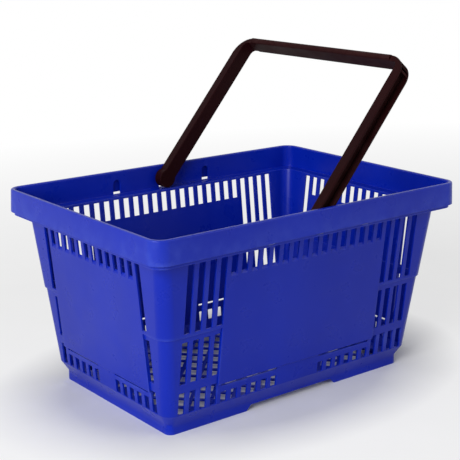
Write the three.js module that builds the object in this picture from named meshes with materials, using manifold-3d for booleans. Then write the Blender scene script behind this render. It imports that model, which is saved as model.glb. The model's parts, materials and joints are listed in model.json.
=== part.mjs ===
// A hand shopping basket: one moulded tub with slotted walls, and one swinging bail handle.
// Millimetres, +Z up. The origin is at the centre of the footprint, on the surface it stands on.
// The long side runs along X. At rest the handle leans towards +X.

import * as THREE from 'three';
import { mergeVertices } from 'three/addons/utils/BufferGeometryUtils.js';
import Module from 'manifold-3d';

const wasm = await Module();
wasm.setup();

// ---- Driving dimensions -------------------------------------------------------------------

const LENGTH = 430; // rim, outside, along X
const WIDTH = 301; // rim, outside, along Y
const HEIGHT = 229; // top of the rim
const WALL = 2.4; // body walls and foot ring
const CUT = 20; // how far cutters run past what they cut

// Rim: an outer skirt and an inner collar wall that meet in a rounded top.
const RIM_RADIUS = 17;
const RIM_ROUNDING = 1.6;
const SKIRT_HEIGHT = 26.2;
const SKIRT_FLARE = 1; // how far the skirt's lower edge stands out
const SKIRT_WALL = 1.6;
const SKIRT_GAP = 1.4; // between skirt and collar, at the top
const COLLAR_WALL = 2;
const TOP_THICKNESS = 3;
const LEDGE_DEPTH = 28.4; // from the rim's top down to the shelf between collar and body
const LEDGE_THICKNESS = 2;

// Body: two drafted tiers, the upper one proud, over a sloping hip and an upright foot.
const BODY_TOP_GAP = 15.8; // from the rim's outline in to the upper tier, at the ledge
const BODY_RADIUS = 13;
const DRAFT_X = 0.105; // outward travel per unit of height
const DRAFT_Y = 0.116;
const TIER_STEP = 1.9;
const TIER_HEIGHT = 113.9;
const HIP_TOP = 23.6;
const HIP_INSET = 7.6;
const FOOT_HEIGHT = 11.5;
const FOOT_RADIUS = 8;
const FLOOR_THICKNESS = 2.5;
const NOTCH_LENGTH = 134; // shallow arch in the foot under each long side
const NOTCH_HEIGHT = 6.3;

// Slots in the walls. Every row of slots shares one pitch. Long slots stand at both ends of a
// wall, bridged at the tier step and again lower down. Between them short slots run over a
// smooth panel, and small slots under it, with a blank stretch in the middle. A flat slit lies
// between the panel's lower edge and each run of small slots.
const PITCH = 14;
const SLOT_WIDTH = 8;
const SLOT_TOP_GAP = 3.2; // under the ledge
const SHORT_SLOT_HEIGHT = 24.9;
const BRIDGE_OVER_STEP = 3.8;
const BRIDGE_UNDER_STEP = 6.4;
const LOWER_BRIDGE = { low: 49.5, high: 59.5 };
const LOWEST_SLOT = 24.6;
const LONG_SIDE = { longSlots: 4, blankSlots: 4, smallHigh: 37 };
const SHORT_SIDE = { longSlots: 1, blankSlots: 2, smallHigh: 39.2 };
const PANEL_LOW = 47;
const SLIT_HEIGHT = 2.4;

// Floor lattice.
const LATTICE_PITCH = 32;
const LATTICE_RIB = 4.2;
const LATTICE_MARGIN = 9;

// Collar windows: one for each handle stud and two spare ones beside it.
const WINDOW_WIDTH = 10;
const WINDOW_SPACING = 67.4;
const WINDOW_SILL = 0.4; // above the ledge

// Handle: a channel that opens outwards, stiffened by ribs round its corners and along its top.
const LEAN = 50.1; // degrees above the horizontal, towards +X
const SIDE_CLEARANCE = 0.7; // from the collar to the handle's arms and crossbar
const LEDGE_CLEARANCE = 0.65; // under the arms' round ends, which turn just over the ledge
const RUNNING_CLEARANCE = 0.3;
const ARM_WIDTH = 18;
const ARM_DEPTH = 12;
const ARM_END_RADIUS = 11.5;
const BOSS_HEIGHT = 16; // solid length of the arm over the stud
const CORNER_RADIUS = 24;
const INNER_CORNER_RADIUS = 6.4;
const GRIP_WIDTH = 24;
const GRIP_DEPTH = 7.4;
const GRIP_ROUNDING = 3.4;
const CHANNEL_WEB = 2.6;
const CHANNEL_FLANGE = 2.3;
const RIB_THICKNESS = 1.6;
const RIB_PITCH = 24;
const CORNER_RIBS = 4;
const STUD_HEAD_LIP = 1; // past the window's edge, behind the collar

const TUB_COLOUR = 0x1f2fa8;
const HANDLE_COLOUR = 0x1f1210;

// ---- Sizes worked out from them -----------------------------------------------------------

const RIM = { halfX: LENGTH / 2, halfY: WIDTH / 2, radius: RIM_RADIUS };
const SKIRT_LOW = HEIGHT - SKIRT_HEIGHT;
const COLLAR_OUTSIDE = SKIRT_WALL + SKIRT_GAP;
const COLLAR_INSIDE = COLLAR_OUTSIDE + COLLAR_WALL;
const LEDGE_TOP = HEIGHT - LEDGE_DEPTH;
const BODY_RISE = LEDGE_TOP - HIP_TOP;
const BODY_BASE = {
  halfX: RIM.halfX - BODY_TOP_GAP - TIER_STEP - DRAFT_X * BODY_RISE,
  halfY: RIM.halfY - BODY_TOP_GAP - TIER_STEP - DRAFT_Y * BODY_RISE,
  radius: BODY_RADIUS,
};
const FOOT = {
  halfX: BODY_BASE.halfX - HIP_INSET,
  halfY: BODY_BASE.halfY - HIP_INSET,
  radius: FOOT_RADIUS,
};
const SLOT_TOP = LEDGE_TOP - SLOT_TOP_GAP;
const SLOT_RIB = PITCH - SLOT_WIDTH;
const ARM_OUTSIDE = RIM.halfY - COLLAR_INSIDE - SIDE_CLEARANCE;
const HANDLE_TOP = RIM.halfX - COLLAR_INSIDE - SIDE_CLEARANCE;
const PIVOT_HEIGHT = LEDGE_TOP + Math.max(ARM_END_RADIUS, GRIP_WIDTH / 2) + LEDGE_CLEARANCE;
const STUD_RADIUS = WINDOW_WIDTH / 2 - RUNNING_CLEARANCE;

// ---- Solids -------------------------------------------------------------------------------

// A closed three.js geometry as a solid, with only its shared corners kept.
function toSolid(geometry) {
  const bare = new THREE.BufferGeometry();
  bare.setAttribute('position', geometry.getAttribute('position'));
  bare.setIndex(geometry.getIndex());
  const merged = mergeVertices(bare, 1e-4);
  return new wasm.Manifold(new wasm.Mesh({
    numProp: 3,
    vertProperties: new Float32Array(merged.getAttribute('position').array),
    triVerts: new Uint32Array(merged.getIndex().array),
  }));
}

function toMesh(name, solid, material) {
  const { vertProperties, triVerts } = solid.getMesh();
  const geometry = new THREE.BufferGeometry();
  geometry.setAttribute('position', new THREE.BufferAttribute(vertProperties, 3));
  geometry.setIndex(new THREE.BufferAttribute(triVerts, 1));
  geometry.computeVertexNormals();
  const mesh = new THREE.Mesh(geometry, material);
  mesh.name = name;
  return mesh;
}

function joined(solids) {
  return solids.reduce((sum, solid) => sum.add(solid));
}

function grown({ halfX, halfY, radius }, offset, newRadius = radius + offset) {
  return { halfX: halfX + offset, halfY: halfY + offset, radius: newRadius };
}

function roundedRectangle({ halfX, halfY, radius }) {
  const shape = new THREE.Shape();
  shape.absarc(halfX - radius, halfY - radius, radius, 0, Math.PI / 2);
  shape.absarc(radius - halfX, halfY - radius, radius, Math.PI / 2, Math.PI);
  shape.absarc(radius - halfX, radius - halfY, radius, Math.PI, 1.5 * Math.PI);
  shape.absarc(halfX - radius, radius - halfY, radius, 1.5 * Math.PI, 2 * Math.PI);
  return shape;
}

// A solid through rounded rectangles of different sizes: [height, outline] from the bottom up.
// It is extruded from the first outline, then each layer is moved onto its own.
function lofted(levels) {
  const base = levels[0][1];
  const steps = levels.length - 1;
  const geometry = new THREE.ExtrudeGeometry(roundedRectangle(base), {
    depth: steps,
    steps,
    bevelEnabled: false,
    curveSegments: 6,
  });
  const position = geometry.getAttribute('position');
  for (let i = 0; i < position.count; i += 1) {
    const [height, outline] = levels[Math.round(position.getZ(i))];
    const place = (value, half, newHalf) => {
      const side = Math.sign(value);
      const along = (value - side * (half - base.radius)) / base.radius;
      return side * (newHalf - outline.radius) + along * outline.radius;
    };
    position.setXYZ(
      i,
      place(position.getX(i), base.halfX, outline.halfX),
      place(position.getY(i), base.halfY, outline.halfY),
      height,
    );
  }
  return toSolid(geometry);
}

function prism(outline, low, high) {
  return lofted([[low, outline], [high, outline]]);
}

function block([lowX, lowY, lowZ], [highX, highY, highZ]) {
  const geometry = new THREE.BoxGeometry(highX - lowX, highY - lowY, highZ - lowZ);
  geometry.translate((lowX + highX) / 2, (lowY + highY) / 2, (lowZ + highZ) / 2);
  return toSolid(geometry);
}

// Turns a shape drawn in (Y, Z) and extruded along X into place.
const ALONG_X = new THREE.Matrix4().makeBasis(
  new THREE.Vector3(0, 1, 0),
  new THREE.Vector3(0, 0, 1),
  new THREE.Vector3(1, 0, 0),
);

// Turns a shape drawn in (Z, X) and extruded along Y into place.
const ALONG_Y = new THREE.Matrix4().makeBasis(
  new THREE.Vector3(0, 0, 1),
  new THREE.Vector3(1, 0, 0),
  new THREE.Vector3(0, 1, 0),
);

function extruded(shape, low, high, placement, curveSegments = 6) {
  const geometry = new THREE.ExtrudeGeometry(shape, {
    depth: high - low,
    bevelEnabled: false,
    curveSegments,
  });
  geometry.translate(0, 0, low);
  if (placement) {
    geometry.applyMatrix4(placement);
  }
  return toSolid(geometry);
}

// ---- Tub ----------------------------------------------------------------------------------

// Outline of the body's outside at a height above the hip.
function bodyOutline(height, offset = 0) {
  const rise = height - HIP_TOP;
  return {
    halfX: BODY_BASE.halfX + DRAFT_X * rise + offset,
    halfY: BODY_BASE.halfY + DRAFT_Y * rise + offset,
    radius: BODY_RADIUS + offset,
  };
}

function bodyOutside() {
  return lofted([
    [0, FOOT],
    [FOOT_HEIGHT, FOOT],
    [HIP_TOP, BODY_BASE],
    [TIER_HEIGHT, bodyOutline(TIER_HEIGHT)],
    [TIER_HEIGHT, bodyOutline(TIER_HEIGHT, TIER_STEP)],
    [LEDGE_TOP, bodyOutline(LEDGE_TOP, TIER_STEP)],
  ]);
}

function bodyInside() {
  const floor = FOOT_HEIGHT + FLOOR_THICKNESS;
  const slope = HIP_INSET / (HIP_TOP - FOOT_HEIGHT);
  const hipWall = WALL * Math.hypot(1, slope);
  return lofted([
    [floor, grown(FOOT, slope * FLOOR_THICKNESS - hipWall, FOOT_RADIUS)],
    [HIP_TOP, bodyOutline(HIP_TOP, -WALL)],
    [TIER_HEIGHT, bodyOutline(TIER_HEIGHT, -WALL)],
    [TIER_HEIGHT + WALL, bodyOutline(TIER_HEIGHT + WALL, TIER_STEP - WALL)],
    [LEDGE_TOP, bodyOutline(LEDGE_TOP, TIER_STEP - WALL)],
    [LEDGE_TOP + 1, bodyOutline(LEDGE_TOP + 1, TIER_STEP - WALL)],
  ]);
}

function rim() {
  const topStart = HEIGHT - RIM_ROUNDING;
  const edge = RIM_ROUNDING * (1 - Math.SQRT1_2);
  const skirt = lofted([
    [SKIRT_LOW, grown(RIM, SKIRT_FLARE)],
    [topStart, RIM],
    [HEIGHT - edge, grown(RIM, -edge)],
    [HEIGHT, grown(RIM, -RIM_ROUNDING)],
  ]);
  const skirtInside = lofted([
    [SKIRT_LOW - 1, grown(RIM, SKIRT_FLARE - SKIRT_WALL)],
    [HEIGHT - TOP_THICKNESS, grown(RIM, -SKIRT_WALL)],
  ]);
  const collar = prism(grown(RIM, -COLLAR_OUTSIDE), LEDGE_TOP - LEDGE_THICKNESS, HEIGHT - 1);
  return skirt.subtract(skirtInside).add(collar);
}

function collarInside() {
  const inside = grown(RIM, -COLLAR_INSIDE);
  return lofted([
    [LEDGE_TOP, inside],
    [HEIGHT - RIM_ROUNDING, inside],
    [HEIGHT, grown(inside, RIM_ROUNDING)],
    [HEIGHT + CUT, grown(inside, RIM_ROUNDING)],
  ]);
}

// How many slots a wall holds between its round corners, as an even number.
function slotCount(half) {
  const flat = 2 * (half - BODY_RADIUS);
  return 2 * Math.floor((flat + SLOT_RIB) / (2 * PITCH));
}

// A wall's panel reaches to the long slots on both sides of it.
function panelHalf(side, half) {
  return (slotCount(half) / 2 - side.longSlots) * PITCH + SLOT_RIB / 2;
}

// Smooth panel between a wall's long slots, level with the upper tier. It is drawn on the wall
// that faces +Y, then turned about Z.
function sidePanel(side, along, across, quarterTurns) {
  const half = panelHalf(side, BODY_BASE[along]);
  const at = (height, offset) => new THREE.Vector2(bodyOutline(height, offset)[across], height);
  const section = new THREE.Shape([
    at(PANEL_LOW, -WALL / 2),
    at(PANEL_LOW, TIER_STEP),
    at(TIER_HEIGHT + 1, TIER_STEP),
    at(TIER_HEIGHT + 1, -WALL / 2),
  ]);
  const turn = new THREE.Matrix4().makeRotationZ((quarterTurns * Math.PI) / 2);
  return extruded(section, -half, half, turn.multiply(ALONG_X));
}

// The openings of one wall, as { from, to, low, high }, with from and to measured from its middle.
function wallSlots(side, half) {
  const slots = [];
  const addSlot = (place, low, high) => {
    slots.push({ from: place - SLOT_WIDTH / 2, to: place + SLOT_WIDTH / 2, low, high });
  };
  const count = slotCount(half);
  for (let i = 0; i < count; i += 1) {
    const place = (i - (count - 1) / 2) * PITCH;
    const fromEnd = Math.min(i, count - 1 - i);
    if (fromEnd < side.longSlots) {
      addSlot(place, TIER_HEIGHT + BRIDGE_OVER_STEP, SLOT_TOP);
      addSlot(place, LOWER_BRIDGE.high, TIER_HEIGHT - BRIDGE_UNDER_STEP);
      addSlot(place, LOWEST_SLOT, LOWER_BRIDGE.low);
    } else {
      addSlot(place, SLOT_TOP - SHORT_SLOT_HEIGHT, SLOT_TOP);
      if (Math.abs(place) > (side.blankSlots / 2) * PITCH) {
        addSlot(place, LOWEST_SLOT, side.smallHigh);
      }
    }
  }
  const near = (side.blankSlots * PITCH + SLOT_RIB) / 2;
  const far = panelHalf(side, half) - SLOT_RIB;
  const slit = { low: PANEL_LOW - SLIT_HEIGHT, high: PANEL_LOW };
  slots.push({ from: near, to: far, ...slit });
  slots.push({ from: -far, to: -near, ...slit });
  return slots;
}

function slotCutters() {
  const inX = BODY_BASE.halfX - CUT;
  const outX = RIM.halfX;
  const inY = BODY_BASE.halfY - CUT;
  const outY = RIM.halfY;
  const cutters = [];
  for (const side of [-1, 1]) {
    for (const { from, to, low, high } of wallSlots(LONG_SIDE, BODY_BASE.halfX)) {
      const [near, far] = side > 0 ? [inY, outY] : [-outY, -inY];
      cutters.push(block([from, near, low], [to, far, high]));
    }
    for (const { from, to, low, high } of wallSlots(SHORT_SIDE, BODY_BASE.halfY)) {
      const [near, far] = side > 0 ? [inX, outX] : [-outX, -inX];
      cutters.push(block([near, from, low], [far, to, high]));
    }
  }
  return cutters;
}

// Diamond openings that leave a lattice of crossing ribs in the floor.
function latticeCutters() {
  const reach = LATTICE_PITCH / 2 - LATTICE_RIB / Math.SQRT2;
  const diamond = new THREE.Shape([
    new THREE.Vector2(reach, 0),
    new THREE.Vector2(0, reach),
    new THREE.Vector2(-reach, 0),
    new THREE.Vector2(0, -reach),
  ]);
  const limitX = FOOT.halfX - LATTICE_MARGIN - reach;
  const limitY = FOOT.halfY - LATTICE_MARGIN - reach;
  const step = LATTICE_PITCH / 2;
  const columns = Math.floor(limitX / step);
  const rows = Math.floor(limitY / step);
  const cutters = [];
  for (let column = -columns; column <= columns; column += 1) {
    for (let row = -rows; row <= rows; row += 1) {
      if ((column + row) % 2 === 0) {
        const place = new THREE.Matrix4().makeTranslation(column * step, row * step, 0);
        cutters.push(extruded(diamond, FOOT_HEIGHT - 1, FOOT_HEIGHT + FLOOR_THICKNESS + 1, place));
      }
    }
  }
  return cutters;
}

function footNotch() {
  const low = NOTCH_LENGTH / 2;
  const high = low - NOTCH_HEIGHT;
  const section = new THREE.Shape([
    new THREE.Vector2(-1, -low - 1),
    new THREE.Vector2(NOTCH_HEIGHT, -high),
    new THREE.Vector2(NOTCH_HEIGHT, high),
    new THREE.Vector2(-1, low + 1),
  ]);
  return extruded(section, -RIM.halfY, RIM.halfY, ALONG_Y);
}

// Arched windows in both long collar walls, short of the skirt behind them.
function collarWindows() {
  const sill = LEDGE_TOP + WINDOW_SILL;
  const radius = WINDOW_WIDTH / 2;
  const far = RIM.halfY - COLLAR_OUTSIDE + SKIRT_GAP / 3;
  const near = RIM.halfY - COLLAR_INSIDE - CUT;
  const cutters = [];
  for (const place of [-WINDOW_SPACING, 0, WINDOW_SPACING]) {
    const arch = new THREE.Shape();
    arch.moveTo(sill, place - radius);
    arch.lineTo(PIVOT_HEIGHT, place - radius);
    arch.absarc(PIVOT_HEIGHT, place, radius, -Math.PI / 2, Math.PI / 2);
    arch.lineTo(sill, place + radius);
    cutters.push(extruded(arch, near, far, ALONG_Y, 16));
    cutters.push(extruded(arch, -far, -near, ALONG_Y, 16));
  }
  return cutters;
}

function buildTub() {
  const outside = joined([
    bodyOutside(),
    rim(),
    sidePanel(LONG_SIDE, 'halfX', 'halfY', 0),
    sidePanel(SHORT_SIDE, 'halfY', 'halfX', 1),
    sidePanel(LONG_SIDE, 'halfX', 'halfY', 2),
    sidePanel(SHORT_SIDE, 'halfY', 'halfX', 3),
  ]);
  const cutters = joined([
    bodyInside(),
    collarInside(),
    prism(grown(FOOT, -WALL), -1, FOOT_HEIGHT),
    footNotch(),
    ...slotCutters(),
    ...latticeCutters(),
    ...collarWindows(),
  ]);
  const material = new THREE.MeshStandardMaterial({
    color: TUB_COLOUR,
    roughness: 0.45,
    metalness: 0,
  });
  return toMesh('tub', outside.subtract(cutters), material);
}

// ---- Handle, built upright with the stud's axis at the origin ------------------------------

// Region under a bail line: upright sides at the half width, with rounded top corners.
function bailOutline(halfWidth, top, radius, low) {
  const shape = new THREE.Shape();
  shape.moveTo(-halfWidth, low);
  shape.lineTo(halfWidth, low);
  shape.absarc(halfWidth - radius, top - radius, radius, 0, Math.PI / 2);
  shape.absarc(radius - halfWidth, top - radius, radius, Math.PI / 2, Math.PI);
  return shape;
}

function bailRegion(inset, topInset, radius, low, halfDepth) {
  const outline = bailOutline(ARM_OUTSIDE - inset, HANDLE_TOP - topInset, radius, low);
  return extruded(outline, -halfDepth, halfDepth, ALONG_X, 8);
}

// A cylinder about the stud's axis, between two distances out along Y.
function disc(radius, near, far, side) {
  const geometry = new THREE.CylinderGeometry(radius, radius, far - near, 32);
  geometry.translate(0, (near + far) / 2, 0);
  if (side < 0) {
    geometry.rotateZ(Math.PI);
  }
  return toSolid(geometry);
}

function grip() {
  const half = ARM_OUTSIDE - CORNER_RADIUS;
  const section = roundedRectangle({
    halfX: GRIP_DEPTH / 2,
    halfY: GRIP_WIDTH / 2,
    radius: GRIP_ROUNDING,
  });
  const place = ALONG_Y.clone().setPosition(0, 0, HANDLE_TOP - GRIP_DEPTH / 2);
  return extruded(section, -half, half, place, 4);
}

// Thin walls left standing across the channel.
function channelRibs() {
  const half = ARM_WIDTH / 2;
  const thin = RIB_THICKNESS / 2;
  const low = HANDLE_TOP - GRIP_DEPTH;
  const ribs = [];
  const gripRibs = Math.floor((ARM_OUTSIDE - CORNER_RADIUS) / RIB_PITCH);
  for (let i = -gripRibs; i <= gripRibs; i += 1) {
    const place = i * RIB_PITCH;
    ribs.push(block([-half, place - thin, low], [half, place + thin, HANDLE_TOP + 1]));
  }
  for (const side of [-1, 1]) {
    for (let i = 1; i <= CORNER_RIBS; i += 1) {
      const rib = new THREE.BoxGeometry(ARM_WIDTH, 2 * CORNER_RADIUS, RIB_THICKNESS);
      rib.translate(0, CORNER_RADIUS, 0);
      rib.rotateX((i / (CORNER_RIBS + 1)) * (Math.PI / 2));
      if (side < 0) {
        rib.rotateZ(Math.PI);
      }
      const centre = ARM_OUTSIDE - CORNER_RADIUS;
      rib.translate(0, side * centre, HANDLE_TOP - CORNER_RADIUS);
      ribs.push(toSolid(rib));
    }
  }
  return joined(ribs);
}

function channel() {
  const half = ARM_WIDTH / 2 - CHANNEL_FLANGE;
  const all = bailRegion(-1, -1, CORNER_RADIUS + 1, BOSS_HEIGHT, half);
  const webInset = ARM_DEPTH - CHANNEL_WEB;
  const topInset = GRIP_DEPTH - CHANNEL_WEB;
  const keptRadius = INNER_CORNER_RADIUS + CHANNEL_WEB;
  const kept = bailRegion(webInset, topInset, keptRadius, 0, ARM_WIDTH);
  return all.subtract(kept).subtract(channelRibs());
}

function buildHandle() {
  const inside = bailRegion(ARM_DEPTH, GRIP_DEPTH, INNER_CORNER_RADIUS, -CUT, ARM_WIDTH);
  const solids = [
    bailRegion(0, 0, CORNER_RADIUS, 0, ARM_WIDTH / 2).subtract(inside),
    grip(),
  ];
  const headStart = RIM.halfY - COLLAR_OUTSIDE + RUNNING_CLEARANCE;
  const headEnd = RIM.halfY - SKIRT_WALL - RUNNING_CLEARANCE / 2;
  for (const side of [-1, 1]) {
    solids.push(disc(ARM_END_RADIUS, ARM_OUTSIDE - ARM_DEPTH, ARM_OUTSIDE, side));
    solids.push(disc(STUD_RADIUS, ARM_OUTSIDE - 1, headStart, side));
    solids.push(disc(WINDOW_WIDTH / 2 + STUD_HEAD_LIP, headStart, headEnd, side));
  }
  const material = new THREE.MeshStandardMaterial({
    color: HANDLE_COLOUR,
    roughness: 0.4,
    metalness: 0,
  });
  const handle = toMesh('handle', joined(solids).subtract(channel()), material);
  handle.rotation.y = THREE.MathUtils.degToRad(90 - LEAN);
  handle.position.z = PIVOT_HEIGHT;
  return handle;
}

// ---- Object -------------------------------------------------------------------------------

const basket = new THREE.Group();
basket.name = 'basket';
basket.add(buildTub());
basket.add(buildHandle());

export default basket;
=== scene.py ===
"""A blue hand shopping basket with a brown-black swinging bail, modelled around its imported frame.

Sizes are in millimetres and are scaled to metres where a mesh is made. The frame has its origin at
the centre of the footprint, X along the basket and Z up.
"""

import json
import math
from typing import NamedTuple

import bmesh
import bpy
from mathutils import Matrix, Vector


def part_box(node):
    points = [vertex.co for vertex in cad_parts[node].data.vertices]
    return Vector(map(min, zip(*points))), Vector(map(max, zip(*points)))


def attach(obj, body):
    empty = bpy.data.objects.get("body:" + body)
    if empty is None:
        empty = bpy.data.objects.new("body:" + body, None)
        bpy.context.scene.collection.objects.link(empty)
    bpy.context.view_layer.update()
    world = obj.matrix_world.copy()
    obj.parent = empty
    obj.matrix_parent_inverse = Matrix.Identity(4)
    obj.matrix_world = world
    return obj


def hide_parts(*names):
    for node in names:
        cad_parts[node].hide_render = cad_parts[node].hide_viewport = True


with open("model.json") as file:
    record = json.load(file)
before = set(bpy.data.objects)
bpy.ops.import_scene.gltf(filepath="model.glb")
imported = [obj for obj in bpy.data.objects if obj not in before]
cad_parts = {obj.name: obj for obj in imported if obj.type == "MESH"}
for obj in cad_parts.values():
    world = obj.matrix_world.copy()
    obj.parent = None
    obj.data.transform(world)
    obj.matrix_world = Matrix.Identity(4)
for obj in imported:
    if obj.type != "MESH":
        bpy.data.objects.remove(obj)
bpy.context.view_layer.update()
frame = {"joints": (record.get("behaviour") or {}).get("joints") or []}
MM = 0.001

# ---- Sizes of the tub -----------------------------------------------------------------------

TUB_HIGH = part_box("tub")[1] / MM
SKIRT_FLARE = 1.0
HEIGHT = TUB_HIGH.z
RIM_RADIUS = 17.0
RIM_ROUNDING = 1.7
RIM_ROUND_STEPS = 4
SKIRT_HEIGHT = 26.2
SKIRT_WALL = 1.6
COLLAR_OUTSIDE = 3.0
COLLAR_INSIDE = 5.0
RIM_THICKNESS = 3.0
LEDGE_TOP = HEIGHT - 28.4
LEDGE_THICKNESS = 2.0
PIVOT_HEIGHT = frame["joints"][0]["pos_m"][2] / MM

WALL = 2.4
BODY_TOP_GAP = 15.8
BODY_RADIUS = 13.0
DRAFT_X = 0.105
DRAFT_Y = 0.116
TIER_STEP = 1.9
TIER_HEIGHT = 113.9
HIP_TOP = 23.6
HIP_INSET = 7.6
FOOT_HEIGHT = 11.5
FOOT_RADIUS = 8.0
FOOT_INSIDE_RISE = 1.0
NOTCH_HALF = 67.0
NOTCH_HEIGHT = 6.3
CORNER_STEPS = 10

PITCH = 14.0
SLOT_WIDTH = 8.0
RIB = PITCH - SLOT_WIDTH
LONG_SLOT_TIERS = ((117.7, 197.4), (59.5, 107.5), (24.6, 49.5))
SHORT_SLOT = (174.4, 197.4)
SMALL_SLOT_SHORT_WALL = (24.6, 39.2)
SMALL_SLOT_LONG_WALL = (24.6, 37.0)
SLOT_CLEARANCE = 0.3
SILL_DROP = 3.6
PANEL_LOW = 47.0
PANEL_CHAMFER = 0.9
SLIT_LOW = 44.6
WINDOWS = (-67.4, 0.0, 67.4)
WINDOW_WIDTH = 10.0
WINDOW_SILL = 0.4
ARCH_STEPS = 8
RIB_EDGE = 1.001

FLOOR_THICKNESS = 2.5
LATTICE_STEP = 16.0
LATTICE_RIB = 4.2
LATTICE_MARGIN = 9.0

# ---- Sizes of the handle --------------------------------------------------------------------

LEAN = 50.1
SIDE_CLEARANCE = 0.7
ARM_HALF_WIDTH = 9.0
ARM_DEPTH = 12.0
ARM_END_RADIUS = 11.5
ARM_END_STEPS = 12
ARM_END_TIP = 0.01
ARM_ROUNDING = 0.9
BOSS_HEIGHT = 16.0
HANDLE_CORNER = 24.0
INNER_CORNER = 6.4
GRIP_HALF_WIDTH = 12.0
GRIP_DEPTH = 7.4
GRIP_ROUNDING = 3.4
GRIP_LEAD = 0.8
EDGE_FLAT = 0.2
CHANNEL_WEB = 2.6
CHANNEL_HALF = 6.7
CHANNEL_SHARE = 0.75
RIB_THICKNESS = 1.6
RIB_PITCH = 24.0
CORNER_RIBS = 4
STUD_RADIUS = 4.7
STUD_HEAD_RADIUS = 6.0
STUD_HEAD = (147.8, 148.75)
STUD_SUNK = 1.0
ROUND_STEPS = 5

TUB_EDGE = 0.35
HANDLE_EDGE = 0.3


class Outline(NamedTuple):
    """A rounded rectangle about the origin."""

    half_x: float
    half_y: float
    radius: float

    def grown(self, offset):
        return Outline(self.half_x + offset, self.half_y + offset, self.radius + offset)


class Row(NamedTuple):
    """One line round the basket on its outside or underside, and its partner inside or on top.

    Its kind says what is cut or moved there: the foot's notch, the tiers' slots and panels, the
    collar's windows, or nothing.
    """

    outer: Outline
    outer_height: float
    inner: Outline
    inner_height: float
    kind: str = "fixed"
    step: float = 0.0  # how far its raised points stand out


RIM = Outline(TUB_HIGH.x - SKIRT_FLARE, TUB_HIGH.y - SKIRT_FLARE, RIM_RADIUS)
BODY_BASE = Outline(
    RIM.half_x - BODY_TOP_GAP - TIER_STEP - DRAFT_X * (LEDGE_TOP - HIP_TOP),
    RIM.half_y - BODY_TOP_GAP - TIER_STEP - DRAFT_Y * (LEDGE_TOP - HIP_TOP),
    BODY_RADIUS,
)
FOOT = Outline(BODY_BASE.half_x - HIP_INSET, BODY_BASE.half_y - HIP_INSET, FOOT_RADIUS)


# ---- Meshes ---------------------------------------------------------------------------------

def mesh_object(name, points, faces):
    """A closed mesh from points in millimetres, with its faces pointing out."""
    mesh = bpy.data.meshes.new(name)
    mesh.from_pydata([Vector(p) * MM for p in points], [], faces)
    bm = bmesh.new()
    bm.from_mesh(mesh)
    bmesh.ops.remove_doubles(bm, verts=bm.verts, dist=1e-6)
    bmesh.ops.dissolve_degenerate(bm, edges=bm.edges, dist=1e-6)
    bmesh.ops.recalc_face_normals(bm, faces=bm.faces)
    bm.to_mesh(mesh)
    bm.free()
    mesh.shade_smooth()
    obj = bpy.data.objects.new(name, mesh)
    bpy.context.scene.collection.objects.link(obj)
    return obj


def soften(obj, width, clamp=False):
    """Rounds the sharp edges, as a moulding's are, and keeps its flats flat.

    Clamping keeps the rounding from overrunning a mesh's shortest edges.
    """
    bevel = obj.modifiers.new("rounded_edges", "BEVEL")
    bevel.width = width * MM
    bevel.segments = 2
    bevel.limit_method = "ANGLE"
    bevel.angle_limit = math.radians(35)
    bevel.use_clamp_overlap = clamp
    normals = obj.modifiers.new("flat_faces", "WEIGHTED_NORMAL")
    normals.weight = 80


def finished(obj, body, node, material):
    obj.data.materials.clear()
    obj.data.materials.append(material)
    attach(obj, body)
    if node:
        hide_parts(node)


# ---- Tub: rows up the profile, columns round it ----------------------------------------------

def body_outline(height):
    rise = height - HIP_TOP
    return Outline(BODY_BASE.half_x + DRAFT_X * rise, BODY_BASE.half_y + DRAFT_Y * rise, BODY_RADIUS)


def small_slot_heights(wall):
    return SMALL_SLOT_SHORT_WALL if wall % 2 == 0 else SMALL_SLOT_LONG_WALL


def profile_rows():
    """Rows from the foot up the body, out over the ledge, up the collar, over the rim and down."""
    rows = [
        Row(FOOT, 0, FOOT.grown(-WALL), 0, "notch_low"),
        Row(FOOT, NOTCH_HEIGHT, FOOT.grown(-WALL), NOTCH_HEIGHT, "notch_top"),
        Row(FOOT, FOOT_HEIGHT, FOOT.grown(-WALL), FOOT_HEIGHT + FOOT_INSIDE_RISE),
        Row(BODY_BASE, HIP_TOP, BODY_BASE.grown(-WALL), HIP_TOP),
    ]
    levels = {SLIT_LOW, PANEL_LOW, PANEL_LOW + PANEL_CHAMFER, TIER_HEIGHT, *SHORT_SLOT}
    for low, high in (*LONG_SLOT_TIERS, small_slot_heights(0), small_slot_heights(1)):
        levels |= {low, high}
    for level in sorted(levels):
        outer_height = level
        inner_height = level
        if level == TIER_HEIGHT:
            inner_height += WALL
        if level == SHORT_SLOT[0]:
            outer_height -= SILL_DROP
        outer = body_outline(outer_height)
        inner = body_outline(inner_height).grown(-WALL)
        step = TIER_STEP - (PANEL_CHAMFER if level == PANEL_LOW else 0)
        rows.append(Row(outer, outer_height, inner, inner_height, "tiered", step))
    under = LEDGE_TOP - LEDGE_THICKNESS
    edge = body_outline(LEDGE_TOP).grown(TIER_STEP)
    rows.append(Row(edge, under, edge.grown(-WALL), LEDGE_TOP))
    collar = RIM.grown(-COLLAR_OUTSIDE)
    bore = RIM.grown(-COLLAR_INSIDE)
    sill = LEDGE_TOP + WINDOW_SILL
    rows.append(Row(collar, under, bore, LEDGE_TOP, "ledge"))
    rows.append(Row(collar, sill, bore, sill, "sill"))
    rows.append(Row(collar, PIVOT_HEIGHT, bore, PIVOT_HEIGHT, "arch"))
    return rows + rim_rows(collar, bore)


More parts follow.
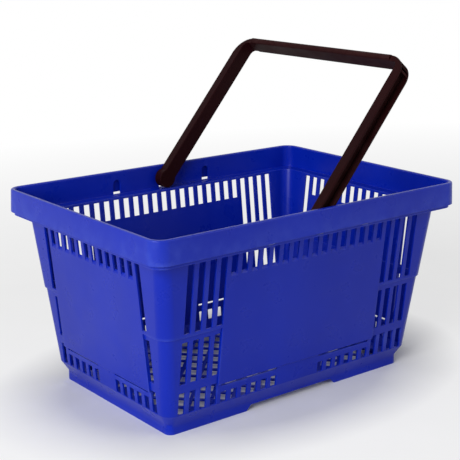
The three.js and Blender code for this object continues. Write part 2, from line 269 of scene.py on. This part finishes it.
def rim_rows(collar, bore):
    """The rounded top of the rim, then the skirt's lower edge."""
    rows = []
    under = HEIGHT - RIM_THICKNESS
    steps = 2 * RIM_ROUND_STEPS + 1
    for i in range(steps + 1):
        outward = i > RIM_ROUND_STEPS
        turn = (i - outward) / RIM_ROUND_STEPS * math.pi / 2
        centre = -RIM_ROUNDING if outward else RIM_ROUNDING - COLLAR_INSIDE
        top = RIM.grown(centre - RIM_ROUNDING * math.cos(turn))
        height = HEIGHT - RIM_ROUNDING * (1 - math.sin(turn))
        below = collar.grown((COLLAR_OUTSIDE - SKIRT_WALL) * i / steps)
        rows.append(Row(below, under, top, height))
    low = HEIGHT - SKIRT_HEIGHT
    edge = RIM.grown(SKIRT_FLARE)
    rows.append(Row(edge.grown(-SKIRT_WALL), low, edge, low))
    return rows


def slot_places(half):
    count = 2 * math.floor((2 * (half - BODY_RADIUS) + RIB) / (2 * PITCH))
    return [(i - (count - 1) / 2) * PITCH for i in range(count)]


class Wall:
    """One side of the basket. Even ones face X and are short, odd ones face Y and are long."""

    def __init__(self, index):
        self.index = index
        self.long = index % 2 == 1
        turn = index * math.pi / 2
        self.out = Vector((math.cos(turn), math.sin(turn), 0))
        self.along = Vector((-math.sin(turn), math.cos(turn), 0))
        self.slots = slot_places(BODY_BASE.half_x if self.long else BODY_BASE.half_y)
        self.long_slots = 4 if self.long else 1
        self.blank = (2 if self.long else 1) * PITCH
        self.panel = (len(self.slots) / 2 - self.long_slots) * PITCH + RIB / 2
        self.widest = self.slots[-1] + SLOT_WIDTH / 2
        self.notch = min(self.column_places(), key=lambda place: abs(place - NOTCH_HALF))

    def sizes(self, outline):
        if self.long:
            return outline.half_y, outline.half_x
        return outline.half_x, outline.half_y

    def column_places(self):
        places = {-self.panel, self.panel}
        for place in self.slots:
            places |= {place - SLOT_WIDTH / 2, place + SLOT_WIDTH / 2}
        if self.long:
            for window in WINDOWS:
                rib = round(window / PITCH) * PITCH
                for i in range(ARCH_STEPS + 1):
                    places.add(rib - RIB / 2 + RIB * i / ARCH_STEPS)
        return sorted({round(place, 3) for place in places})

    def is_open(self, place, low, high):
        """Whether the stretch of wall at a place, between two row heights, is cut away."""
        if low == SLIT_LOW and self.blank < abs(place) < self.panel - RIB:
            return abs(place) > self.blank + RIB / 2
        for number, slot in enumerate(self.slots):
            if abs(place - slot) < SLOT_WIDTH / 2:
                from_end = min(number, len(self.slots) - 1 - number)
                for bottom, top in self.slot_heights(slot, from_end):
                    if bottom <= low and high <= top:
                        return True
        return False

    def slot_heights(self, slot, from_end):
        if from_end < self.long_slots:
            return LONG_SLOT_TIERS
        if abs(slot) < self.blank:
            return (SHORT_SLOT,)
        return (SHORT_SLOT, small_slot_heights(self.index))


class Column(NamedTuple):
    wall: Wall
    place: float = 0.0
    turn: float = 0.0
    corner: bool = False


def nearest_window(place):
    """The window whose rib holds this column, and how far across the rib it stands, -1 to 1."""
    for window in WINDOWS:
        across = (place - round(window / PITCH) * PITCH) / (RIB / 2)
        if abs(across) < RIB_EDGE:
            return window, across
    return None, 0


def shifted(column, kind, flat):
    """Where a column stands along its wall in a row, moved aside for the notch and the windows."""
    place = column.place * min(1, (flat - SLOT_CLEARANCE) / column.wall.widest)
    if column.wall.long:
        window, across = nearest_window(column.place)
        if kind in ("ledge", "sill", "arch") and window is not None:
            return window + WINDOW_WIDTH / 2 * math.sin(across * math.pi / 2)
        if abs(column.place) == column.wall.notch and kind == "notch_top":
            return place - math.copysign(NOTCH_HEIGHT, place)
    return place


def column_point(column, outline, height, kind):
    wall = column.wall
    half, half_along = wall.sizes(outline)
    flat = half_along - outline.radius
    if column.corner:
        out = half - outline.radius + outline.radius * math.cos(column.turn)
        along = flat + outline.radius * math.sin(column.turn)
    else:
        out = half
        along = shifted(column, kind, flat)
        if kind == "arch" and wall.long:
            window, across = nearest_window(column.place)
            if window is not None:
                height += WINDOW_WIDTH / 2 * math.cos(across * math.pi / 2)
    return wall.out * out + wall.along * along + Vector((0, 0, height))


class TubSheet:
    """The tub's wall as one folded sheet of cells, some cut away and some raised."""

    def __init__(self):
        self.rows = profile_rows()
        self.columns = []
        for wall in [Wall(i) for i in range(4)]:
            self.columns += [Column(wall, place) for place in wall.column_places()]
            for i in range(CORNER_STEPS + 1):
                turn = i / CORNER_STEPS * math.pi / 2
                self.columns.append(Column(wall, turn=turn, corner=True))
        self.points = []
        self.index = {}
        self.faces = []

    def cell(self, c, r):
        """(outer raised, inner raised) for a solid cell, or None where it is cut away."""
        if r < 0 or r > len(self.rows) - 2:
            return None
        column = self.columns[c]
        after = self.columns[(c + 1) % len(self.columns)]
        low, high = self.rows[r], self.rows[r + 1]
        on_flat = not column.corner and not after.corner
        wall = column.wall
        middle = (column.place + after.place) / 2
        tiered = "tiered" in (low.kind, high.kind)
        upper = tiered and low.inner_height > TIER_HEIGHT
        if not on_flat:
            return upper, upper
        if tiered and wall.is_open(middle, low.inner_height, high.inner_height):
            return None
        if wall.long and low.kind == "sill" and nearest_window(middle)[0] is not None:
            return None
        if wall.long and low.kind == "notch_low" and abs(middle) < NOTCH_HALF:
            return None
        panel = tiered and abs(middle) < wall.panel and PANEL_LOW <= low.inner_height
        return upper or panel, upper

    def vertex(self, side, c, r, raised):
        row = self.rows[r]
        raised = raised and row.step > 0
        key = (side, c % len(self.columns), r, raised)
        if key not in self.index:
            outline, height = row[:2] if side == 0 else row[2:4]
            if raised:
                outline = outline.grown(row.step)
            self.index[key] = len(self.points)
            self.points.append(column_point(self.columns[key[1]], outline, height, row.kind))
        return self.index[key]

    def join(self, ends, here, there):
        """Closes the step, or the cut edge, between two neighbouring cells."""
        if here is None and there is None:
            return
        if here is None or there is None:
            cell = here or there
            across = [self.vertex(side, *end, cell[side]) for side, end in
                      ((0, ends[0]), (0, ends[1]), (1, ends[1]), (1, ends[0]))]
            self.faces.append(across)
            return
        for side in (0, 1):
            if here[side] != there[side]:
                step = [self.vertex(side, *ends[0], here[side]),
                        self.vertex(side, *ends[1], here[side]),
                        self.vertex(side, *ends[1], there[side]),
                        self.vertex(side, *ends[0], there[side])]
                self.faces.append(list(dict.fromkeys(step)))

    def build(self):
        for c in range(len(self.columns)):
            for r in range(-1, len(self.rows) - 1):
                cell = self.cell(c, r)
                if cell is not None:
                    for side in (0, 1):
                        ring = [(c, r), (c + 1, r), (c + 1, r + 1), (c, r + 1)]
                        self.faces.append([self.vertex(side, *p, cell[side]) for p in ring])
                self.join([(c, r + 1), (c + 1, r + 1)], cell, self.cell(c, r + 1))
                if r >= 0:
                    beside = self.cell((c + 1) % len(self.columns), r)
                    self.join([(c + 1, r), (c + 1, r + 1)], cell, beside)
        return mesh_object("tub_shell", self.points, [f for f in self.faces if len(f) > 2])


# ---- Tub: floor lattice ----------------------------------------------------------------------

def closed_spline(curve, points):
    spline = curve.splines.new("POLY")
    spline.points.add(len(points) - 1)
    for point, (x, y) in zip(spline.points, points):
        point.co = (x * MM, y * MM, 0, 1)
    spline.use_cyclic_u = True


def floor_lattice():
    """A plate with diamond openings, tucked into the foot's wall all round."""
    rounding = 0.5
    curve = bpy.data.curves.new("floor_lattice", "CURVE")
    curve.dimensions = "2D"
    curve.fill_mode = "BOTH"
    curve.extrude = (FLOOR_THICKNESS / 2 - rounding) * MM
    curve.bevel_depth = rounding * MM
    curve.bevel_resolution = 2
    curve.offset = -rounding * MM
    edge = FOOT.grown(-WALL / 2)
    corners = [(1, 1, 0), (-1, 1, 1), (-1, -1, 2), (1, -1, 3)]
    outline = []
    for side_x, side_y, quarter in corners:
        for i in range(CORNER_STEPS + 1):
            turn = (quarter + i / CORNER_STEPS) * math.pi / 2
            outline.append((
                side_x * (edge.half_x - edge.radius) + edge.radius * math.cos(turn),
                side_y * (edge.half_y - edge.radius) + edge.radius * math.sin(turn),
            ))
    closed_spline(curve, outline)
    reach = LATTICE_STEP - LATTICE_RIB / math.sqrt(2)
    columns = math.floor((FOOT.half_x - LATTICE_MARGIN - reach) / LATTICE_STEP)
    rows = math.floor((FOOT.half_y - LATTICE_MARGIN - reach) / LATTICE_STEP)
    for column in range(-columns, columns + 1):
        for row in range(-rows, rows + 1):
            if (column + row) % 2 == 0:
                x, y = column * LATTICE_STEP, row * LATTICE_STEP
                diamond = [(x + reach, y), (x, y + reach), (x - reach, y), (x, y - reach)]
                closed_spline(curve, diamond)
    source = bpy.data.objects.new("floor_lattice", curve)
    bpy.context.scene.collection.objects.link(source)
    bpy.context.view_layer.update()
    depsgraph = bpy.context.evaluated_depsgraph_get()
    mesh = bpy.data.meshes.new_from_object(source.evaluated_get(depsgraph))
    bpy.data.objects.remove(source)
    mesh.name = "tub_floor"
    mesh.transform(Matrix.Translation((0, 0, (FOOT_HEIGHT + FLOOR_THICKNESS / 2) * MM)))
    floor = bpy.data.objects.new("tub_floor", mesh)
    bpy.context.scene.collection.objects.link(floor)
    return floor


# ---- Handle, built upright about its stud axis ------------------------------------------------

ARM_OUTSIDE = RIM.half_y - COLLAR_INSIDE - SIDE_CLEARANCE
HANDLE_TOP = RIM.half_x - COLLAR_INSIDE - SIDE_CLEARANCE


class Station(NamedTuple):
    """One cross-section of the bail: three lines through it, its half width and its rounding."""

    outer: tuple
    web: tuple
    inner: tuple
    half_width: float
    rounding: float


def bail_line(side_inset, top_inset, radius, turn):
    """A point on the bail's rounded corner, as (y, z), inset from its outside."""
    return (
        ARM_OUTSIDE - side_inset - radius * (1 - math.cos(turn)),
        HANDLE_TOP - top_inset - radius * (1 - math.sin(turn)),
    )


def arm_station(height, half_width, open_channel):
    web = ARM_OUTSIDE - (ARM_DEPTH - CHANNEL_WEB if open_channel else 0)
    rounding = min(ARM_ROUNDING, half_width / 2)
    outer = (ARM_OUTSIDE, height)
    return Station(outer, (web, height), (ARM_OUTSIDE - ARM_DEPTH, height), half_width, rounding)


def half_bail():
    """Stations from the arm's round end up and round the corner to where the grip starts."""
    stations = []
    waist = math.pi - math.asin(ARM_HALF_WIDTH / ARM_END_RADIUS)
    for i in range(ARM_END_STEPS + 1):
        turn = waist * i / ARM_END_STEPS
        half_width = max(ARM_END_RADIUS * math.sin(turn), ARM_END_TIP)
        stations.append(arm_station(-ARM_END_RADIUS * math.cos(turn), half_width, False))
    stations.append(arm_station(BOSS_HEIGHT, ARM_HALF_WIDTH, False))
    stations.append(arm_station(BOSS_HEIGHT, ARM_HALF_WIDTH, True))
    web_top = GRIP_DEPTH - CHANNEL_WEB
    for i in range(ROUND_STEPS * 2 + 1):
        turn = i / (ROUND_STEPS * 2) * math.pi / 2
        outer = bail_line(0, 0, HANDLE_CORNER, turn)
        web = bail_line(ARM_DEPTH - CHANNEL_WEB, web_top, INNER_CORNER + CHANNEL_WEB, turn)
        inner = bail_line(ARM_DEPTH, GRIP_DEPTH, INNER_CORNER, turn)
        stations.append(Station(outer, web, inner, ARM_HALF_WIDTH, ARM_ROUNDING))
    grip_end = ARM_OUTSIDE - HANDLE_CORNER
    for place, half_width, rounding in (
        (grip_end, ARM_HALF_WIDTH, ARM_ROUNDING),
        (grip_end, GRIP_HALF_WIDTH - GRIP_LEAD, GRIP_ROUNDING - GRIP_LEAD),
        (grip_end - GRIP_LEAD, GRIP_HALF_WIDTH, GRIP_ROUNDING),
    ):
        stations.append(Station(
            (place, HANDLE_TOP),
            (place, HANDLE_TOP - web_top),
            (place, HANDLE_TOP - GRIP_DEPTH),
            half_width,
            rounding,
        ))
    return stations


def section(station):
    """The channel's outline at one station, as points in the handle's upright frame."""
    outer, inner, web = Vector(station.outer), Vector(station.inner), Vector(station.web)
    depth = (outer - inner).length
    inward = (inner - outer) / depth
    rounding = min(station.rounding, depth / 2 - EDGE_FLAT)
    channel = min(CHANNEL_HALF, station.half_width * CHANNEL_SHARE)
    profile = []
    for i in range(ROUND_STEPS + 1):
        turn = i / ROUND_STEPS * math.pi / 2
        x = station.half_width - rounding * (1 - math.sin(turn))
        profile.append((x, rounding * (1 - math.cos(turn))))
    for i in range(ROUND_STEPS + 1):
        turn = i / ROUND_STEPS * math.pi / 2
        x = station.half_width - rounding * (1 - math.cos(turn))
        profile.append((x, depth - rounding * (1 - math.sin(turn))))
    ring = [(channel, web), (channel, outer)]
    ring += [(x, outer + inward * d) for x, d in profile]
    ring += [(-x, place) for x, place in reversed(ring)]
    return [Vector((x, place.x, place.y)) for x, place in ring]


def mirrored(station):
    flipped = [(-y, z) for y, z in (station.outer, station.web, station.inner)]
    return Station(*flipped, station.half_width, station.rounding)


def add_box(points, faces, centre, half, turn=0.0):
    """A closed box, turned about X, added to a mesh under construction."""
    base = len(points)
    rotation = Matrix.Rotation(turn, 3, "X")
    for x in (-1, 1):
        for y in (-1, 1):
            for z in (-1, 1):
                offset = Vector((x * half[0], y * half[1], z * half[2]))
                points.append(Vector(centre) + rotation @ offset)
    sides = ((0, 1, 3, 2), (4, 6, 7, 5), (0, 4, 5, 1), (2, 3, 7, 6), (0, 2, 6, 4), (1, 5, 7, 3))
    for side in sides:
        faces.append([base + corner for corner in side])


def add_disc(points, faces, radius, near, far, segments=48):
    """A closed cylinder about the stud axis, between two distances along Y."""
    base = len(points)
    for i in range(segments):
        turn = 2 * math.pi * i / segments
        for y in (near, far):
            points.append(Vector((radius * math.cos(turn), y, radius * math.sin(turn))))
    for i in range(segments):
        after = (i + 1) % segments
        faces.append([base + 2 * i, base + 2 * after, base + 2 * after + 1, base + 2 * i + 1])
    faces.append([base + 2 * i for i in range(segments)])
    faces.append([base + 2 * i + 1 for i in reversed(range(segments))])


def add_ribs(points, faces):
    """Thin walls across the channel, along the grip and fanned round both corners."""
    sunk = 0.4
    half = CHANNEL_HALF + sunk
    deep = (GRIP_DEPTH - CHANNEL_WEB) / 2
    reach = math.floor((ARM_OUTSIDE - HANDLE_CORNER) / RIB_PITCH)
    for i in range(-reach, reach + 1):
        centre = (0, i * RIB_PITCH, HANDLE_TOP - deep - sunk)
        add_box(points, faces, centre, (half, RIB_THICKNESS / 2, deep))
    for side in (-1, 1):
        for i in range(1, CORNER_RIBS + 1):
            turn = i / (CORNER_RIBS + 1) * math.pi / 2
            outer = Vector(bail_line(0, 0, HANDLE_CORNER, turn))
            web_radius = INNER_CORNER + CHANNEL_WEB
            web = Vector(bail_line(ARM_DEPTH - CHANNEL_WEB, GRIP_DEPTH - CHANNEL_WEB, web_radius, turn))
            along = outer - web
            middle = (outer + web) / 2 - along.normalized() * sunk
            angle = math.atan2(along.y, side * along.x)
            centre = (0, side * middle.x, middle.y)
            add_box(points, faces, centre, (half, along.length / 2, RIB_THICKNESS / 2), angle)


def build_handle():
    half = half_bail()
    stations = half + [mirrored(station) for station in reversed(half)]
    points = []
    faces = []
    for station in stations:
        points += section(station)
    count = len(section(half[0]))
    for i in range(len(stations) - 1):
        for j in range(count):
            a = i * count + j
            b = i * count + (j + 1) % count
            faces.append([a, b, b + count, a + count])
    faces.append(list(range(count)))
    faces.append(list(range(len(points) - count, len(points))))
    add_ribs(points, faces)
    for side in (-1, 1):
        add_disc(points, faces, STUD_RADIUS, side * (ARM_OUTSIDE - STUD_SUNK), side * STUD_HEAD[0])
        add_disc(points, faces, STUD_HEAD_RADIUS, side * STUD_HEAD[0], side * STUD_HEAD[1])
    lean = Matrix.Rotation(math.radians(90 - LEAN), 4, "Y")
    leaning = Matrix.Translation((0, 0, PIVOT_HEIGHT)) @ lean
    return mesh_object("handle_bail", [leaning @ point for point in points], faces)


# ---- Materials -------------------------------------------------------------------------------

class Nodes:
    """A material's node tree, with short calls for the nodes it uses."""

    def __init__(self, name):
        self.material = bpy.data.materials.new(name)
        self.material.use_nodes = True
        self.tree = self.material.node_tree
        self.tree.nodes.clear()
        self.place = self.add("ShaderNodeTexCoord").outputs["Object"]

    def add(self, kind, **values):
        node = self.tree.nodes.new(kind)
        for name, value in values.items():
            setattr(node, name, value)
        return node

    def link(self, source, target):
        self.tree.links.new(source, target)

    def noise(self, scale, detail=2.0, stretch=(1, 1, 1)):
        mapping = self.add("ShaderNodeMapping")
        mapping.inputs["Scale"].default_value = stretch
        noise = self.add("ShaderNodeTexNoise")
        noise.inputs["Scale"].default_value = scale
        noise.inputs["Detail"].default_value = detail
        self.link(self.place, mapping.inputs["Vector"])
        self.link(mapping.outputs["Vector"], noise.inputs["Vector"])
        return noise.outputs["Fac"]

    def remap(self, value, from_low, from_high, to_low, to_high):
        node = self.add("ShaderNodeMapRange")
        for name, number in (
            ("From Min", from_low),
            ("From Max", from_high),
            ("To Min", to_low),
            ("To Max", to_high),
        ):
            node.inputs[name].default_value = number
        self.link(value, node.inputs["Value"])
        return node.outputs["Result"]

    def arithmetic(self, operation, first, second):
        node = self.add("ShaderNodeMath", operation=operation)
        self.link(first, node.inputs[0])
        self.link(second, node.inputs[1])
        return node.outputs[0]

    def mix_colour(self, factor, first, second):
        node = self.add("ShaderNodeMix", data_type="RGBA")
        self.link(factor, node.inputs["Factor"])
        colours = [socket for socket in node.inputs if socket.type == "RGBA"]
        for socket, colour in zip(colours, (first, second)):
            if isinstance(colour, bpy.types.NodeSocket):
                self.link(colour, socket)
            else:
                socket.default_value = (*colour, 1)
        return next(socket for socket in node.outputs if socket.type == "RGBA")

    def bump(self, height, strength, distance, normal=None):
        node = self.add("ShaderNodeBump")
        node.inputs["Strength"].default_value = strength
        node.inputs["Distance"].default_value = distance
        self.link(height, node.inputs["Height"])
        if normal is not None:
            self.link(normal, node.inputs["Normal"])
        return node.outputs["Normal"]


def linear(red, green, blue):
    """A display colour, 0 to 255, as the linear values that nodes take."""
    def channel(value):
        value /= 255
        return value / 12.92 if value <= 0.04045 else ((value + 0.055) / 1.055) ** 2.4
    return tuple(channel(value) for value in (red, green, blue))


def moulded_plastic(name, colour, deep, worn_and_highlight, roughness, sheen, grain):
    """Injection-moulded polypropylene: fine spark grain, faint flow marks, and convex edges in a paler
    colour that is partly wear and partly a painted highlight along the rims and panel edges.
    """
    nodes = Nodes(name)
    drawn_out = nodes.noise(scale=9, detail=3, stretch=(1, 1, 0.35))
    flow = nodes.remap(drawn_out, from_low=0.35, from_high=0.65, to_low=0, to_high=1)
    body = nodes.mix_colour(flow, colour, deep)
    edges = nodes.add("ShaderNodeNewGeometry").outputs["Pointiness"]
    # Convex edges take the paler colour: partly rubbed wear, partly a painted highlight standing in for
    # light catching the rounded edges.
    rubbed_and_highlit = nodes.remap(edges, from_low=0.52, from_high=0.58, to_low=0, to_high=0.55)
    patches = nodes.noise(scale=70, detail=4)
    patchy = nodes.remap(patches, from_low=0.42, from_high=0.62, to_low=0.35, to_high=1)
    wear_and_highlight = nodes.arithmetic("MULTIPLY", rubbed_and_highlit, patchy)
    shader = nodes.add("ShaderNodeBsdfPrincipled")
    nodes.link(nodes.mix_colour(wear_and_highlight, body, worn_and_highlight), shader.inputs["Base Color"])
    smudges = nodes.noise(scale=38, detail=4)
    rough = nodes.remap(
        smudges,
        from_low=0.3,
        from_high=0.7,
        to_low=roughness - 0.05,
        to_high=roughness + 0.07,
    )
    nodes.link(rough, shader.inputs["Roughness"])
    shader.inputs["IOR"].default_value = 1.49
    shader.inputs["Specular IOR Level"].default_value = sheen
    waves = nodes.bump(nodes.noise(scale=26, detail=2), strength=0.25, distance=0.0004)
    sparkle = nodes.noise(scale=1500, detail=3)
    spark = nodes.bump(sparkle, strength=grain, distance=0.00006, normal=waves)
    nodes.link(spark, shader.inputs["Normal"])
    output = nodes.add("ShaderNodeOutputMaterial")
    nodes.link(shader.outputs["BSDF"], output.inputs["Surface"])
    return nodes.material


# ---- Stage -----------------------------------------------------------------------------------

FLOOR_HALF = 40000
FLOOR_SHADOW = 0.34
ROOM_LIGHT = 0.15


def looked_at(tree):
    """1 where the camera looks, straight or in a reflection or glass, and 0 for other light."""
    path = tree.nodes.new("ShaderNodeLightPath")
    seen = path.outputs["Is Camera Ray"]
    for ray in ("Is Glossy Ray", "Is Transmission Ray"):
        either = tree.nodes.new("ShaderNodeMath")
        either.operation = "MAXIMUM"
        tree.links.new(seen, either.inputs[0])
        tree.links.new(path.outputs[ray], either.inputs[1])
        seen = either.outputs[0]
    return seen


def pale_floor():
    """A plain pale floor that keeps the basket's shadow, and looks white further out.

    Distances from the middle are measured in half sizes of the rim.
    """
    corners = [(-1, -1), (1, -1), (1, 1), (-1, 1)]
    points = [(x * FLOOR_HALF, y * FLOOR_HALF, 0) for x, y in corners]
    floor = mesh_object("floor", points, [[0, 1, 2, 3]])
    nodes = Nodes("floor")
    in_rims = nodes.add("ShaderNodeMapping")
    in_rims.inputs["Scale"].default_value = (1 / (RIM.half_x * MM), 1 / (RIM.half_y * MM), 1)
    nodes.link(nodes.place, in_rims.inputs["Vector"])
    distance = nodes.add("ShaderNodeVectorMath", operation="LENGTH")
    nodes.link(in_rims.outputs["Vector"], distance.inputs[0])
    mottle = nodes.noise(scale=14)
    speckle = nodes.remap(mottle, from_low=0.3, from_high=0.7, to_low=0.86, to_high=0.90)
    tint = nodes.add("ShaderNodeCombineColor")
    for name in ("Red", "Green", "Blue"):
        nodes.link(speckle, tint.inputs[name])
    paper = nodes.add("ShaderNodeBsdfDiffuse")
    nodes.link(tint.outputs["Color"], paper.inputs["Color"])
    glow = nodes.add("ShaderNodeEmission")
    away = distance.outputs["Value"]
    beside = nodes.remap(away, from_low=1.0, from_high=1.5, to_low=0, to_high=1 - FLOOR_SHADOW)
    beyond = nodes.remap(away, from_low=3, from_high=10, to_low=0, to_high=FLOOR_SHADOW)
    faded = nodes.arithmetic("ADD", beside, beyond)
    seen = nodes.arithmetic("MULTIPLY", faded, looked_at(nodes.tree))
    blend = nodes.add("ShaderNodeMixShader")
    nodes.link(seen, blend.inputs["Fac"])
    nodes.link(paper.outputs["BSDF"], blend.inputs[1])
    nodes.link(glow.outputs["Emission"], blend.inputs[2])
    output = nodes.add("ShaderNodeOutputMaterial")
    nodes.link(blend.outputs["Shader"], output.inputs["Surface"])
    floor.data.materials.append(nodes.material)


def studio_world():
    """Soft light all round; seen directly or in a reflection it is white."""
    world = bpy.data.worlds.new("studio")
    world.use_nodes = True
    tree = world.node_tree
    background = tree.nodes["Background"]
    background.inputs["Color"].default_value = (1, 1, 1, 1)
    strength = tree.nodes.new("ShaderNodeMapRange")
    strength.inputs["To Min"].default_value = ROOM_LIGHT
    strength.inputs["To Max"].default_value = 1
    tree.links.new(looked_at(tree), strength.inputs["Value"])
    tree.links.new(strength.outputs["Result"], background.inputs["Strength"])
    bpy.context.scene.world = world


def soft_lamp(name, place, size, power, aim=(0, 0, 0.15)):
    light = bpy.data.lights.new(name, "AREA")
    light.size = size
    light.energy = power
    lamp = bpy.data.objects.new(name, light)
    lamp.location = place
    lamp.rotation_euler = (Vector(aim) - Vector(place)).to_track_quat("-Z", "Y").to_euler()
    bpy.context.scene.collection.objects.link(lamp)


def photo_camera():
    azimuth = math.radians(-38.485)
    elevation = math.radians(14.928)
    distance = 1.35566
    target = Vector((-0.00154, 0.00111, 0.17453))
    back = Vector((
        math.sin(azimuth) * math.cos(elevation),
        -math.cos(azimuth) * math.cos(elevation),
        math.sin(elevation),
    ))
    lens = bpy.data.cameras.new("camera")
    lens.lens = 90.82
    lens.shift_x = -0.00615
    camera = bpy.data.objects.new("camera", lens)
    camera.location = target + back * distance
    camera.rotation_euler = (-back).to_track_quat("-Z", "Y").to_euler()
    bpy.context.scene.collection.objects.link(camera)
    bpy.context.scene.camera = camera


# ---- Scene -----------------------------------------------------------------------------------

blue = moulded_plastic(
    "blue_polypropylene",
    colour=linear(4, 36, 170),
    deep=linear(2, 30, 158),
    # The paler edge colour is partly wear and partly a painted highlight on the rims and panel edges.
    worn_and_highlight=linear(96, 118, 214),
    roughness=0.3,
    sheen=0.22,
    grain=0.35,
)
brown = moulded_plastic(
    "brown_black_polypropylene",
    colour=linear(36, 6, 8),
    deep=linear(28, 4, 6),
    # The paler edge colour is partly wear and partly a painted highlight on the handle's edges.
    worn_and_highlight=linear(54, 30, 30),
    roughness=0.55,
    sheen=0.05,
    grain=0.30,
)

shell = TubSheet().build()
soften(shell, TUB_EDGE)
finished(shell, "basket", "tub", blue)
finished(floor_lattice(), "basket", None, blue)
handle = build_handle()
soften(handle, HANDLE_EDGE, clamp=True)
finished(handle, "bail", "handle", brown)

pale_floor()
studio_world()
soft_lamp("key", place=(-1.9, -0.75, 1.0), size=1.2, power=43)
soft_lamp("fill", place=(0.9, -1.9, 0.8), size=1.4, power=8.5)
soft_lamp("top", place=(0.1, 0.2, 2.2), size=0.6, power=6)
photo_camera()
bpy.context.scene.view_settings.view_transform = "Standard"
